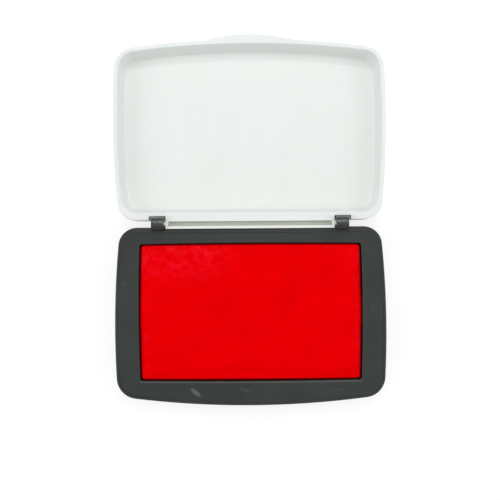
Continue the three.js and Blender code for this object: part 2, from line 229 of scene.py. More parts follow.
class InkPadColours(bpy.types.PropertyGroup):
    """Colours of the finishes."""

    case: colour("Case", "Dark moulded plastic", tint(44, 49, 46))
    # Colour of the real scuffs, and also of the painted highlight along the window's front edge.
    scuff_and_highlight: colour("Scuffs", "Light rubbed marks on the case", tint(128, 128, 124))
    lid: colour("Lid", "Cool white moulded plastic", tint(237, 240, 237))
    # The groove's colour: dust, together with painted shade at the bottom of the groove.
    dust_and_shade: colour("Dust", "Dust in the groove of the lid's hinge bar", tint(192, 197, 181))
    ink: colour("Ink", "Cloth soaked in ink", tint(240, 0, 5))
    ink_deep: colour("Deep ink", "Where the ink stands deeper", tint(230, 0, 3))
    # A painted sheen: the pink of wet ink where it catches the light.
    painted_ink_sheen: colour("Wet ink", "Where wet ink catches the light", tint(252, 14, 42))
    felt: colour("Felt", "Felt soaked in ink", tint(176, 0, 8))
    foam: colour("Foam", "Foam soaked in ink", tint(196, 6, 12))
    label: colour("Label", "Blank film label", tint(228, 228, 223))


GROUPS = {
    "footprint": InkPadFootprint,
    "hinge": InkPadHinge,
    "case": InkPadCase,
    "lid": InkPadLid,
    "cushion": InkPadCushion,
    "colours": InkPadColours,
}


def settings(group):
    """One group of sizes or colours, as the user has set it."""
    return getattr(bpy.context.scene, f"{PREFIX}_{group}")


# ---------- modelling ----------


def clear_selection():
    """Leaves edit mode with nothing selected."""
    if bpy.context.mode != "OBJECT":
        bpy.ops.object.mode_set(mode="OBJECT")
    bpy.ops.object.select_all(action="DESELECT")


def choose(piece):
    """Selects the piece alone and makes it the active one."""
    clear_selection()
    bpy.context.view_layer.objects.active = piece
    piece.select_set(True)


def begin_outline(name, point):
    """A new piece whose mesh is one point, in edit mode, for an outline to be drawn from."""
    clear_selection()
    bpy.ops.mesh.primitive_plane_add(size=MM, enter_editmode=True, location=(0, 0, 0))
    bpy.context.object.name = name
    bpy.ops.mesh.select_mode(type="VERT")
    bpy.ops.mesh.merge(type="CENTER")
    bpy.ops.transform.translate(value=point)
    return bpy.context.object


def draw_line(step):
    """A straight stretch from the last point."""
    bpy.ops.mesh.extrude_region_move(TRANSFORM_OT_translate={"value": step})


def draw_arc(centre, angle, steps, axis=(0, 0, 1)):
    """An arc from the last point, anticlockwise about the axis."""
    bpy.ops.mesh.spin(steps=steps, angle=-angle, center=centre, axis=axis)


def close_outline(normal):
    """Joins the outline's ends and fills it with one face that looks along normal."""
    bpy.ops.mesh.select_all(action="SELECT")
    bpy.ops.mesh.remove_doubles(threshold=NEAR)
    bpy.ops.mesh.edge_face_add()
    bpy.ops.mesh.select_mode(type="FACE")
    face = next(iter(bmesh.from_edit_mesh(bpy.context.object.data).faces))
    if face.normal.dot(Vector(normal)) < 0:
        bpy.ops.mesh.flip_normals()


def pick(kind, test):
    """Selects the vertices or faces that pass the test, and nothing else."""
    bpy.ops.mesh.select_mode(type=kind)
    bpy.ops.mesh.select_all(action="DESELECT")
    mesh = bpy.context.object.data
    shape = bmesh.from_edit_mesh(mesh)
    for part in shape.verts if kind == "VERT" else shape.faces:
        if test(part):
            part.select_set(True)
    shape.select_flush_mode()
    bmesh.update_edit_mesh(mesh)


def pick_cap(way, height):
    """Selects the faces at that height that look up (way 1) or down (way -1)."""
    pick("FACE", lambda f: f.normal.z * way > STRAIGHT and abs(f.calc_center_median().z - height) < NEAR)


def raise_face(height):
    """Extrudes the selected face straight up, or down where the height is below 0."""
    bpy.ops.mesh.extrude_region_move(TRANSFORM_OT_translate={"value": (0, 0, height)})


def step_in(thickness, depth=0.0):
    """Insets the selected face, and moves it along its normal by the depth."""
    bpy.ops.mesh.inset(thickness=thickness, depth=depth)


def quarter_turn(steps):
    """The share of the radius gained across and along in each step of a quarter circle."""
    angles = [QUARTER * k / steps for k in range(steps + 1)]
    for before, after in zip(angles, angles[1:]):
        yield math.cos(before) - math.cos(after), math.sin(after) - math.sin(before)


def round_over(radius, steps=5, way=1):
    """Rounds from a wall onto the selected cap; way -1 makes the hollow fillet at the foot of a wall."""
    for across, along in quarter_turn(steps):
        step_in(radius * across, way * radius * along)


def roll_down(radius, steps=4):
    """Rounds from the selected cap down into a wall."""
    for across, along in quarter_turn(steps):
        step_in(radius * along, -radius * across)


def slide_back_edge(height, shift):
    """Moves the hinge side of the cap at that height away from the hinge, and keeps the cap selected."""
    outline = settings("footprint")
    limit = outline.hinge_reach + outline.back_corner + MM / 2
    mesh = bmesh.from_edit_mesh(bpy.context.object.data)
    cap = next(f for f in mesh.faces if f.select)
    inner = {v.index for v in cap.verts if v.co.y < limit}
    pick("VERT", lambda v: v.index in inner)
    bpy.ops.transform.translate(value=(0, shift, 0))
    count = len(inner)

    def is_cap(face):
        level = face.normal.z > STRAIGHT and abs(face.verts[0].co.z - height) < NEAR
        return level and len(face.verts) > count

    pick("FACE", is_cap)


def footprint(name, inset, back_inset, height, longer=0.0):
    """The case's outline, filled, drawn from the hinge outwards; longer moves its front further out."""
    outline = settings("footprint")
    back_y = outline.hinge_reach + back_inset
    side = Vector((outline.half_width - outline.side_radius, outline.hinge_reach + outline.widest, height))
    front = Vector((0, outline.hinge_reach + outline.depth + longer - outline.front_radius, height))

    back_radius = outline.back_corner - inset
    corner_y = back_y + back_radius
    reach = outline.side_radius - inset - back_radius
    back = Vector((side.x + math.sqrt(reach**2 - (corner_y - side.y) ** 2), corner_y, height))

    # The front corner's centre is where two circles about the side's and the front's centres cross.
    to_side = outline.side_radius - outline.front_corner
    to_front = outline.front_radius - outline.front_corner
    span = (front - side).length
    along = (to_side**2 - to_front**2 + span**2) / (2 * span)
    off = math.sqrt(to_side**2 - along**2)
    unit = (front - side) / span
    corner = side + unit * along + Vector((-unit.y, unit.x, 0)) * off

    back_turn = math.atan2(back.y - side.y, back.x - side.x)
    front_turn = math.atan2(corner.y - side.y, corner.x - side.x)
    bow_turn = math.atan2(corner.y - front.y, corner.x)

    def mirrored(point):
        return Vector((-point.x, point.y, point.z))

    piece = begin_outline(name, (-back.x, back_y, height))
    draw_line((2 * back.x, 0, 0))
    draw_arc(back, QUARTER + back_turn, outline.corner_steps)
    draw_arc(side, front_turn - back_turn, outline.side_steps)
    draw_arc(corner, bow_turn - front_turn, outline.corner_steps)
    draw_arc(front, math.pi - 2 * bow_turn, outline.front_steps)
    draw_arc(mirrored(corner), bow_turn - front_turn, outline.corner_steps)
    draw_arc(mirrored(side), front_turn - back_turn, outline.side_steps)
    draw_arc(mirrored(back), QUARTER + back_turn, outline.corner_steps)
    close_outline((0, 0, 1))
    return piece


def bowed_plate(name, half_width, half_depth, radius, centre, height):
    """A filled rectangle with round corners and slightly bowed sides, as the window and the pad have."""
    case = settings("case")
    corner_steps = 8
    side_steps = 16
    right = half_width - case.side_bow
    front = half_depth - case.end_bow
    x = right - radius
    y = front - radius
    piece = begin_outline(name, (-x, centre - front, height))
    for end in (-1, 1):
        turn, reach = bow(x, case.end_bow)
        draw_arc((0, centre + end * (half_depth - reach), height), turn, side_steps)
        draw_arc((-end * x, centre + end * y, height), QUARTER, corner_steps)
        turn, reach = bow(y, case.side_bow)
        draw_arc((-end * (half_width - reach), centre, height), turn, side_steps)
        draw_arc((-end * x, centre - end * y, height), QUARTER, corner_steps)
    close_outline((0, 0, 1))
    return piece


def bow(half_length, rise):
    """The angle and the radius of the arc that rises that far in the middle of its chord."""
    radius = (half_length**2 + rise**2) / (2 * rise)
    return 2 * math.asin(half_length / radius), radius


def rounded_plate(name, half_width, half_depth, radius, centre, height, steps=8):
    """A filled rectangle with round corners, centred at that distance from the hinge."""
    clear_selection()
    bpy.ops.mesh.primitive_plane_add(size=2, enter_editmode=True, location=(0, 0, 0))
    bpy.context.object.name = name
    bpy.ops.transform.resize(value=(half_width, half_depth, 1))
    bpy.ops.transform.translate(value=(0, centre, height))
    bpy.ops.mesh.bevel(affect="VERTICES", offset=radius, segments=steps)
    bpy.ops.mesh.select_mode(type="FACE")
    bpy.ops.mesh.select_all(action="SELECT")
    return bpy.context.object


def face_outwards():
    """Merges what lies double and turns every face outwards."""
    bpy.ops.mesh.select_all(action="SELECT")
    bpy.ops.mesh.remove_doubles(threshold=NEAR / 10)
    bpy.ops.mesh.normals_make_consistent(inside=False)


def apply_modifier(piece, kind, **values):
    """Adds a modifier with those settings and applies it."""
    choose(piece)
    added = piece.modifiers.new(kind.title(), kind)
    for name, value in values.items():
        setattr(added, name, value)
    bpy.ops.object.modifier_apply(modifier=added.name)


def soften(piece, width, segments=3, sharper_than=40):
    """Rounds every edge that is sharper than the angle."""
    apply_modifier(
        piece, "BEVEL", width=width, segments=segments, limit_method="ANGLE",
        angle_limit=math.radians(sharper_than), use_clamp_overlap=False,
    )


def combine(piece, tool, operation):
    """Joins the tool to the piece (UNION) or cuts it out (DIFFERENCE), and removes the tool."""
    clear_selection()
    apply_modifier(piece, "BOOLEAN", operation=operation, object=tool, solver="EXACT")
    bpy.data.objects.remove(tool)


def hinge_cylinder(name, radius, x0, x1, steps):
    """A cylinder on the hinge axis, from x0 to x1."""
    clear_selection()
    bpy.ops.mesh.primitive_cylinder_add(
        vertices=steps, radius=radius, depth=x1 - x0,
        location=((x0 + x1) / 2, 0, HINGE.z), rotation=(0, QUARTER, 0),
    )
    bpy.context.object.name = name
    return bpy.context.object


def both_ends(x0, x1):
    """The stretch along the hinge at the right end and at the left end."""
    return (x0, x1), (-x1, -x0)


def settle(piece, turn, body, material, node, smooth=35):
    """Turns a piece to its side of the hinge, finishes its surface and puts it on its body."""
    choose(piece)
    piece.rotation_euler.z = turn
    piece.location = (0, HINGE.y, 0)
    bpy.ops.object.transform_apply(location=True, rotation=True, scale=True)
    bpy.ops.object.mode_set(mode="EDIT")
    face_outwards()
    bpy.ops.object.mode_set(mode="OBJECT")
    bpy.ops.object.shade_smooth_by_angle(angle=math.radians(smooth))
    apply_modifier(piece, "WEIGHTED_NORMAL", keep_sharp=True)
    piece.data.materials.clear()
    piece.data.materials.append(material)
    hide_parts(node)
    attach(piece, body)


# ---------- shader maths ----------


class Value:
    """A shader socket that can be used in sums; each sum adds its Math node."""

    def __init__(self, shader, socket):
        self.shader = shader
        self.socket = socket

    def maths(self, operation, *others):
        """Adds one Math node."""
        return self.shader.node("ShaderNodeMath", {"operation": operation}, dict(enumerate((self, *others))))

    def __add__(self, other):
        return self.maths("ADD", other)

    def __sub__(self, other):
        return self.maths("SUBTRACT", other)

    def __mul__(self, other):
        return self.maths("MULTIPLY", other)

    __radd__ = __add__
    __rmul__ = __mul__

    def __rsub__(self, other):
        return self * -1 + other

    def sine(self):
        return self.maths("SINE")

    def size(self):
        """How far it is from 0."""
        return self.maths("ABSOLUTE")

    def clamped(self):
        """Kept from 0 to 1."""
        return self.shader.node("ShaderNodeClamp", {}, {"Value": self})

    def between(self, low, high):
        """0 below low, 1 above high, and smooth between them."""
        smooth = {"interpolation_type": "SMOOTHSTEP"}
        limits = {"Value": self, "From Min": low, "From Max": high}
        return self.shader.node("ShaderNodeMapRange", smooth, limits)


class Shader:
    """A material made of one surface shader."""

    def __init__(self, name):
        self.material = bpy.data.materials.new(name)
        self.material.use_nodes = True
        self.tree = self.material.node_tree
        self.tree.nodes.clear()

    def node(self, kind, options=None, inputs=None, output=0):
        """Adds a node: its options first, then the values or links of its sockets."""
        made = self.tree.nodes.new(kind)
        for name, value in (options or {}).items():
            setattr(made, name, value)
        for key, value in (inputs or {}).items():
            if isinstance(value, Value):
                self.tree.links.new(value.socket, made.inputs[key])
            else:
                made.inputs[key].default_value = value
        return Value(self, made.outputs[output]) if made.outputs else made

    def place(self):
        """Where a point is on the finished piece, in metres."""
        return self.node("ShaderNodeTexCoord", output="Object")

    def axis(self, name):
        """One coordinate of that place: X, Y or Z."""
        return self.node("ShaderNodeSeparateXYZ", {}, {"Vector": self.place()}, name)

    def grain(self, size, detail=2.0, roughness=0.5, stretch=(1, 1, 1), turn=0.0):
        """Noise whose blobs are about that big, from 0 to 1; stretch and turn give it a direction."""
        scale = tuple(1 / (size * part) for part in stretch)
        turned = {"Vector": self.place(), "Rotation": (0, 0, turn), "Scale": scale}
        mapped = self.node("ShaderNodeMapping", {}, turned)
        values = {"Vector": mapped, "Scale": 1.0, "Detail": detail, "Roughness": roughness}
        return self.node("ShaderNodeTexNoise", {}, values)

    def mix(self, factor, first, second):
        """A colour between two colours."""
        first, second = (end if isinstance(end, Value) else (*end, 1) for end in (first, second))
        # For colours, the factor and the two ends are inputs 0, 6 and 7, and the result is output 2.
        return self.node("ShaderNodeMix", {"data_type": "RGBA"}, {0: factor, 6: first, 7: second}, 2)

    def bump(self, height, depth, strength, below=None):
        """A relief of that depth, on top of the one below it."""
        values = {"Height": height, "Distance": depth, "Strength": strength}
        if below is not None:
            values["Normal"] = below
        return self.node("ShaderNodeBump", {}, values)

    def surface(self, **inputs):
        """The finished material: input names are the shader's own, with _ for a space."""
        named = {name.replace("_", " "): value for name, value in inputs.items()}
        shader = self.node("ShaderNodeBsdfPrincipled", {}, named, "BSDF")
        self.node("ShaderNodeOutputMaterial", {}, {"Surface": shader})
        return self.material


def patch(shader, centre, turn, half_length, half_width):
    """1 in the middle of a slanting oval in X and Y, whatever the height, fading to 0 at its edge."""
    x = shader.axis("X")
    y = shader.axis("Y")
    across = x - centre[0] * MM
    along = y - centre[1] * MM
    cosine = math.cos(turn)
    sine = math.sin(turn)
    ahead = (across * cosine + along * sine) * (1 / (half_length * MM))
    aside = (along * cosine - across * sine) * (1 / (half_width * MM))
    return (1 - (ahead * ahead + aside * aside)).clamped()


# ---------- finishes ----------


def case_plastic(name, scuffed_and_highlit):
    """Dark satin plastic with a fine mould texture and faint cloudiness; the knuckles are worn shiny."""
    colours = settings("colours")
    shader = Shader(name)
    cloud = shader.grain(22 * MM, 3.0, 0.6)
    speckle = shader.grain(0.35 * MM, 2.0, 0.6)
    satin = 0.26
    skin = shader.mix(cloud.between(0.3, 0.7), shaded(colours.case, 0.86), shaded(colours.case, 1.14))
    rough = satin + cloud * 0.08 + speckle * 0.08
    if scuffed_and_highlit:
        rub_and_highlight = sum(patch(shader, *oval) * strength for *oval, strength in SCUFFS)
        hairs = shader.grain(0.9 * MM, 3.0, 0.7, stretch=(9, 0.35, 1), turn=0.5)
        # The ovals and the hairlines are real scuffs; the window term is a painted highlight along the
        # window's front edge.
        rub_and_highlight = rub_and_highlight * (speckle * 0.7 + 0.6) + hairs.between(0.66, 0.8) * 0.06 + painted_window_highlight(shader) * 0.2
        skin = shader.mix(rub_and_highlight.clamped(), skin, colours.scuff_and_highlight)
        rough = rough + rub_and_highlight * 0.25
    fine = shader.bump(speckle, 0.02 * MM, 0.5)
    waves = shader.bump(shader.grain(9 * MM), 0.03 * MM, 0.5, below=fine)
    knuckle_front = HINGE.y - 1.5 * MM
    polish = shader.axis("Y").between(knuckle_front, HINGE.y)
    return shader.surface(
        Base_Color=skin, Roughness=rough, Normal=waves, Specular_IOR_Level=0.45,
        Coat_Weight=polish, Coat_Roughness=0.16, Coat_Tint=(0.9, 0.97, 1, 1),
    )


def painted_window_highlight(shader):
    """1 along the front edge of the window, where a highlight is painted for the light that its rounded edge
    catches, fading to 0 beside it.

    It is 1 above and below that edge as well, because only X and Y count.
    """
    case = settings("case")
    half_band = 0.15 * MM
    fade = 0.3 * MM
    x = shader.axis("X")
    y = shader.axis("Y")
    radius = bow(case.window_half_width, case.end_bow)[1]
    middle = HINGE.y - window_centre() - case.window_half_depth - case.window_edge - half_band
    away = (y - x * x * (1 / (2 * radius)) - middle).size()
    inside = 1 - x.size().between(case.window_half_width - MM, case.window_half_width)
    return (1 - away.between(half_band, half_band + fade)) * inside


def painted_groove_shade(shader):
    """1 at the bottom of the groove in the hinge bar, where dust and painted shade darken it, fading to 0 at
    its top.
    """
    hinge = settings("hinge")
    y = shader.axis("Y")
    z = shader.axis("Z")
    side = ((y - HINGE.y) * (1 / hinge.groove_front)).size()
    depth = (HINGE.z - z) * (1 / hinge.groove_drop)
    return depth.between(-0.5, 0.9) * (1 - side.between(1.1, 1.3))


def lid_plastic(name):
    """Cool white, slightly translucent plastic with a soft gloss and barely visible flow marks."""
    colours = settings("colours")
    shader = Shader(name)
    cloud = shader.grain(28 * MM, 3.0, 0.55)
    flow = shader.grain(7 * MM, 2.0, 0.5, stretch=(0.6, 3.5, 1), turn=0.2)
    dust_and_shade = shader.grain(0.5 * MM, 2.0, 0.6)
    semi_gloss = 0.3
    cooler = tuple(value * share for value, share in zip(colours.lid, (0.97, 0.98, 0.975)))
    skin = shader.mix((cloud * 0.7 + flow * 0.3).between(0.35, 0.65), cooler, colours.lid)
    # Darkens the bottom of the hinge bar's groove with dust and painted shade.
    skin = shader.mix(painted_groove_shade(shader) * (dust_and_shade * 0.4 + 0.6), skin, colours.dust_and_shade)
    rough = semi_gloss + cloud * 0.08 + dust_and_shade * 0.07
    fine = shader.bump(dust_and_shade, 0.01 * MM, 0.35)
    waves = shader.bump(shader.grain(16 * MM), 0.05 * MM, 0.4, below=fine)
    return shader.surface(
        Base_Color=skin, Roughness=rough, Normal=waves, Specular_IOR_Level=0.4,
        Subsurface_Weight=0.12, Subsurface_Radius=(1.2 * MM, 1.4 * MM, 1.3 * MM), Subsurface_Scale=1.0,
    )


def ink_cloth(name):
    """Plain-woven cloth, wet with ink: fine threads, cloudy colour, and wetter, glossier edges and one wetter
    area, where a pinkish sheen is also painted into the colour.
    """
    colours = settings("colours")
    cushion = settings("cushion")
    shader = Shader(name)
    x = shader.axis("X")
    y = shader.axis("Y")
    warp = (x * (math.pi / cushion.grain)).sine()
    weft = (y * (math.pi / cushion.grain)).sine()
    over = (warp * weft).between(-0.35, 0.35)
    threads = warp.size() * over + weft.size() * (1 - over)
    slub = shader.grain(1.6 * MM, 2.0, 0.6, stretch=(3, 0.5, 1))
    cloud = shader.grain(11 * MM, 4.0, 0.62)
    blotch = shader.grain(3.2 * MM, 4.0, 0.68)

    middle = (PAD_LOW + PAD_HIGH) / 2
    half = (PAD_HIGH - PAD_LOW) / 2
    across = ((x - middle.x) * (1 / half.x)).size()
    along = (y - middle.y) * (1 / half.y)
    border = across.between(0.86, 1.0) + along.size().between(0.86, 1.02) * 0.6
    far_corners = (across * 0.75 + along * 0.5).between(0.85, 1.35)
    sheen_pool = patch(shader, *INK_SHEEN_POOL)
    wet_and_sheen = (border * 0.4 + far_corners * 0.4 + sheen_pool * 0.8) * blotch.between(0.36, 0.74)

    damp = 0.62
    red = shader.mix(cloud.between(0.25, 0.75), colours.ink_deep, colours.ink)
    # The pink mixed in at the edges, far corners and wet area is painted sheen; the coat and lower roughness
    # there are real gloss.
    red = shader.mix((wet_and_sheen * 0.7).clamped(), red, colours.painted_ink_sheen)
    rough = damp - wet_and_sheen * 0.25 - blotch * 0.08
    weave = shader.bump(threads, 0.035 * MM, 0.5)
    uneven = shader.bump(slub * 0.4 + blotch, 0.06 * MM, 0.5, below=weave)
    return shader.surface(
        Base_Color=red, Roughness=rough, Normal=uneven, Specular_IOR_Level=0.0,
        Coat_Weight=(wet_and_sheen * 0.2).clamped(), Coat_Roughness=0.35, Coat_IOR=1.35,
    )


def soaked_layer(name, ink, cell, depth):
    """Felt or foam soaked in ink, seen only where the pad is taken apart."""
    shader = Shader(name)
    spread = {"Vector": shader.place(), "Scale": 1 / cell, "Randomness": 1.0}
    cells = shader.node("ShaderNodeTexVoronoi", {}, spread, "Distance")
    cloud = shader.grain(6 * MM, 3.0, 0.6)
    red = shader.mix(cloud.between(0.3, 0.7), shaded(ink, 0.7), ink)
    pores = shader.bump(cells + cloud * 0.4, depth, 0.7)
    return shader.surface(Base_Color=red, Roughness=0.82 + cloud * 0.12, Normal=pores, Specular_IOR_Level=0.2)


def label_film(name):
    """Blank pale film with a faint orange-peel gloss."""
    colours = settings("colours")
    shader = Shader(name)
    cloud = shader.grain(12 * MM, 3.0, 0.6)
    peel = shader.grain(0.8 * MM)
    pale = shader.mix(cloud, shaded(colours.label, 0.95), colours.label)
    skin = shader.bump(peel, 0.02 * MM, 0.4)
    return shader.surface(Base_Color=pale, Roughness=0.36 + peel * 0.12, Normal=skin)


# ---------- pieces ----------


def window_centre():
    """Distance from the hinge to the middle of the window."""
    case = settings("case")
    return settings("footprint").hinge_reach + case.window_from_back + case.window_half_depth


def window_plate(name, margin, height):
    """The window's outline grown by margin."""
    case = settings("case")
    half_width = case.window_half_width + margin
    half_depth = case.window_half_depth + margin
    return bowed_plate(name, half_width, half_depth, case.window_corner + margin, window_centre(), height)


def label_place():
    """Half width, half depth and distance from the hinge of the label."""
    low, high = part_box("base_label")
    return (high.x - low.x) / 2, (high.y - low.y) / 2, HINGE.y - (low.y + high.y) / 2


def ear(x0, x1):
    """One hinge ear: a knuckle on a web that slopes down to the back wall, with rounded edges."""
    hinge = settings("hinge")
    top = math.sqrt(hinge.knuckle**2 - hinge.ear_back**2)
    heel = -math.sqrt(hinge.knuckle**2 - hinge.ear_heel**2)
    start = math.atan2(top, hinge.ear_back)
    end = math.atan2(heel, -hinge.ear_heel) + math.tau
    reach = settings("footprint").hinge_reach
    piece = begin_outline("ear", (x0, hinge.ear_back, HINGE.z - hinge.ear_foot))
    draw_line((0, 0, hinge.ear_foot + top))
    draw_arc((x0, 0, HINGE.z), end - start, KNUCKLE_STEPS, axis=(1, 0, 0))
    draw_line((0, hinge.ear_heel + reach, -hinge.ear_foot - heel))
    close_outline((-1, 0, 0))
    bpy.ops.mesh.extrude_region_move(TRANSFORM_OT_translate={"value": (x1 - x0, 0, 0)})
    face_outwards()
    clear_selection()
    soften(piece, hinge.ear_edge, segments=4, sharper_than=60)
    return piece


def ear_foot(x0, x1):
    """The flared foot that carries an ear on the back wall."""
    hinge = settings("hinge")
    outline = settings("footprint")
    width = x1 - x0
    start = outline.hinge_reach - hinge.flare
    middle = (start + hinge.ear_back) / 2
    height = hinge.ear_foot - hinge.ear_edge
    clear_selection()
    bpy.ops.mesh.primitive_cube_add(size=1, enter_editmode=True, location=(0, 0, 0))
    bpy.ops.transform.resize(value=(width, hinge.ear_back - start, height))
    bpy.ops.transform.translate(value=((x0 + x1) / 2, middle, RIM - height / 2 - hinge.ear_edge))
    pick("FACE", lambda f: f.normal.y > STRAIGHT)
    bpy.ops.transform.resize(value=(1 + 2 * hinge.flare / width, 1, 1))
    piece = bpy.context.object
    clear_selection()
    soften(piece, hinge.ear_edge / 2, sharper_than=30)
    return piece


class INKPAD_OT_base_case(bpy.types.Operator):
    """Model the dark base with its rim, ledge, label recess and hinge ears"""

    bl_idname = "inkpad.base_case"
    bl_label = "Base case"
    bl_options = {"REGISTER", "UNDO"}

    def execute(self, context):
        case = settings("case")
        hinge = settings("hinge")
        piece = footprint("base_shell", 0, 0, case.base_edge)
        raise_face(RIM - case.base_edge - case.rim_edge)
        round_over(case.rim_edge)
        step_in(case.rim_wall - case.rim_edge - case.seam_edge)
        slide_back_edge(RIM, case.back_wall)
        roll_down(case.seam_edge, steps=2)
        raise_face(case.rebate - RIM + case.seam_edge)
        step_in(case.ledge)
        raise_face(case.floor + case.seam_edge - case.rebate)
        round_over(case.seam_edge, steps=2, way=-1)
        pick_cap(-1, case.base_edge)
        round_over(case.base_edge)
        clear_selection()

        half_width, half_depth, centre = label_place()
        margin = case.label_margin
        corner = case.label_corner + margin
        recess = rounded_plate("recess", half_width + margin, half_depth + margin, corner, centre, -MM)
        raise_face(MM + case.label_recess)
        face_outwards()
        combine(piece, recess, "DIFFERENCE")

        hollow = hinge_cylinder("sweep", hinge.bar_sweep, -hinge.ear_inner, hinge.ear_inner, HOLLOW_STEPS)
        combine(piece, hollow, "DIFFERENCE")
        for x0, x1 in both_ends(hinge.ear_inner, hinge.ear_inner + hinge.ear_width):
            combine(piece, ear(x0, x1), "UNION")
            combine(piece, ear_foot(x0, x1), "UNION")
        for x0, x1 in both_ends(hinge.ear_inner - MM, hinge.ear_inner + hinge.pin_hole_depth):
            combine(piece, hinge_cylinder("hole", hinge.pin_hole, x0, x1, PIN_STEPS), "DIFFERENCE")
        finish = case_plastic("Base plastic", scuffed_and_highlit=True)
        settle(piece, TO_BASE, "base", finish, "base_case")
        return {"FINISHED"}


class INKPAD_OT_pad_frame(bpy.types.Operator):
    """Model the frame that holds the pad, with its rounded window and the skirt below it"""

    bl_idname = "inkpad.pad_frame"
    bl_label = "Pad frame"
    bl_options = {"REGISTER", "UNDO"}

    def execute(self, context):
        case = settings("case")
        inset = case.rim_wall + case.seam
        underside = case.rebate + case.seam
        piece = footprint("bezel", inset, inset + case.back_wall, underside)
        raise_face(RIM - underside - case.seam_edge)
        round_over(case.seam_edge, steps=3)
        skirt_low = FRAME_LOW.z
        skirt = window_plate("skirt", case.skirt, skirt_low)
        raise_face(underside + case.seam_edge - skirt_low)
        face_outwards()
        combine(piece, skirt, "UNION")
        window = window_plate("window", case.window_edge, RIM + MM)
        raise_face(-MM)
        roll_down(case.window_edge, steps=5)
        raise_face(skirt_low - RIM - MM)
        face_outwards()
        combine(piece, window, "DIFFERENCE")
        finish = case_plastic("Frame plastic", scuffed_and_highlit=True)
        settle(piece, TO_BASE, "base", finish, "pad_frame")
        return {"FINISHED"}


class INKPAD_OT_ink_tray(bpy.types.Operator):
    """Model the thin tray that keeps the ink off the base"""

    bl_idname = "inkpad.ink_tray"
    bl_label = "Ink tray"
    bl_options = {"REGISTER", "UNDO"}

    def execute(self, context):
        case = settings("case")
        low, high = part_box("ink_tray")
        margin = (high.x - low.x) / 2 - case.window_half_width
        piece = window_plate("liner", margin, low.z + case.tray_edge)
        raise_face(high.z - low.z - 2 * case.tray_edge)
        round_over(case.tray_edge, steps=3)
        step_in(case.tray_wall - 2 * case.tray_edge)
        roll_down(case.tray_edge, steps=3)
        raise_face(low.z + case.tray_wall + 2 * case.tray_edge - high.z)
        round_over(case.tray_edge, steps=3, way=-1)
        pick_cap(-1, low.z + case.tray_edge)
        round_over(case.tray_edge, steps=3)
        finish = case_plastic("Tray plastic", scuffed_and_highlit=False)
        settle(piece, TO_BASE, "base", finish, "ink_tray")
        return {"FINISHED"}


class INKPAD_OT_pad_layers(bpy.types.Operator):
    """Model the felt that holds the ink and the foam above it"""

    bl_idname = "inkpad.pad_layers"
    bl_label = "Felt and foam"
    bl_options = {"REGISTER", "UNDO"}

    def execute(self, context):
        colours = settings("colours")
        felt = soaked_layer("Inked felt", colours.felt, 0.5 * MM, 0.12 * MM)
        foam = soaked_layer("Inked foam", colours.foam, 0.9 * MM, 0.2 * MM)
        self.layer("felt", "felt_core", "ink_felt", felt)
        self.layer("foam", "foam_layer", "ink_foam", foam)
        return {"FINISHED"}

    def layer(self, name, node, slot_name, finish):
        """A slab with soft edges, and faces that are divided and slightly uneven."""
        cushion = settings("cushion")
        wave_size = 3 * MM
        wave_depth = 0.04 * MM
        low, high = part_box(node)
        half = (high - low) / 2
        centre = low + half
        piece = bowed_plate(name, half.x, half.y, cushion.corner, HINGE.y - centre.y, low.z)
        raise_face(high.z - low.z)
        face_outwards()
        clear_selection()
        apply_modifier(piece, "REMESH", mode="VOXEL", voxel_size=cushion.voxel / 2)
        apply_modifier(piece, "SMOOTH", factor=0.5, iterations=3)
        for point in piece.data.vertices:
            wave = noise.noise(point.co / wave_size) * wave_depth
            point.co.z += wave if point.co.z < centre.z else -abs(wave)
        settle(piece, TO_BASE, "base", finish, node, smooth=60)


